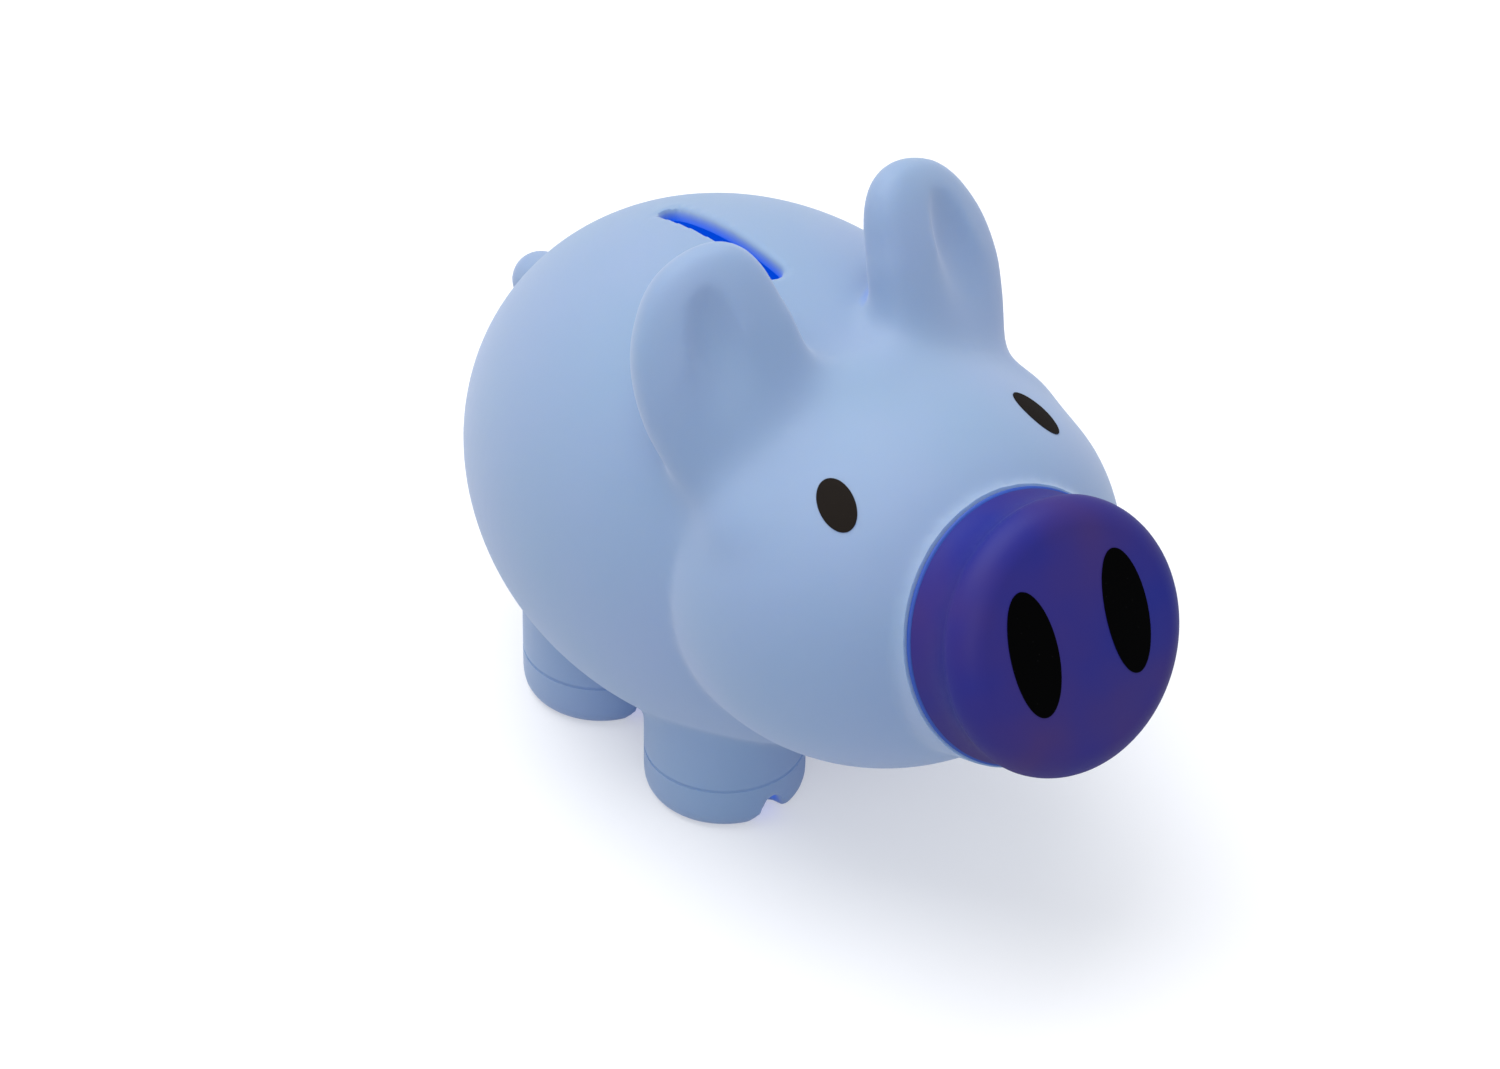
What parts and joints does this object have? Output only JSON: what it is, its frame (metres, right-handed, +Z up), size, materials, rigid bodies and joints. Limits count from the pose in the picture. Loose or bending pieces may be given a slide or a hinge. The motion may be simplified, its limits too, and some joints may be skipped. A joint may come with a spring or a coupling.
{
  "type": "piggy bank",
  "caption": "Round hollow pig money box with tall ears, stub legs, a coin slot in the back and a nose that screws off.",
  "frame": {"origin": "on the floor under the middle of the bounding box", "axes": "+Z up, -Y the way the pig faces, +X its left side"},
  "size_m": [0.1136, 0.2004, 0.1406],
  "materials": {
    "body_vinyl": "soft matt pale blue vinyl",
    "socket_plastic": "plain moulded plastic",
    "washer_blue": "smooth soft rubber",
    "nose_frosted": "frosted translucent violet-blue plastic",
    "neck_plastic": "frosted violet-blue plastic",
    "eye_paint": "semi-matt black paint",
    "nostril_paint": "matt black paint"
  },
  "bodies": {
    "bank": {"body_shell": "body_vinyl", "nose_socket": "socket_plastic", "eye_print_left": "eye_paint", "eye_print_right": "eye_paint"},
    "washer": {"nose_washer": "washer_blue"},
    "nose": {"nose_cap": "nose_frosted", "nose_neck": "neck_plastic", "nostril_print_left": "nostril_paint", "nostril_print_right": "nostril_paint"}
  },
  "joints": [
    {"name": "nose_travel", "type": "slide", "parent": "bank", "child": "washer", "axis": [0, -0.9272, 0.3746], "range_m": [0, 0.012]},
    {"name": "nose_twist", "type": "hinge", "parent": "washer", "child": "nose", "pos_m": [0, -0.0726, 0.0755], "axis": [0, -0.9272, 0.3746], "range_deg": [0, 361]}
  ],
  "couplings": [
    {"joint": "nose_twist", "follows": "nose_travel", "rad_per_m": 523.6}
  ]
}
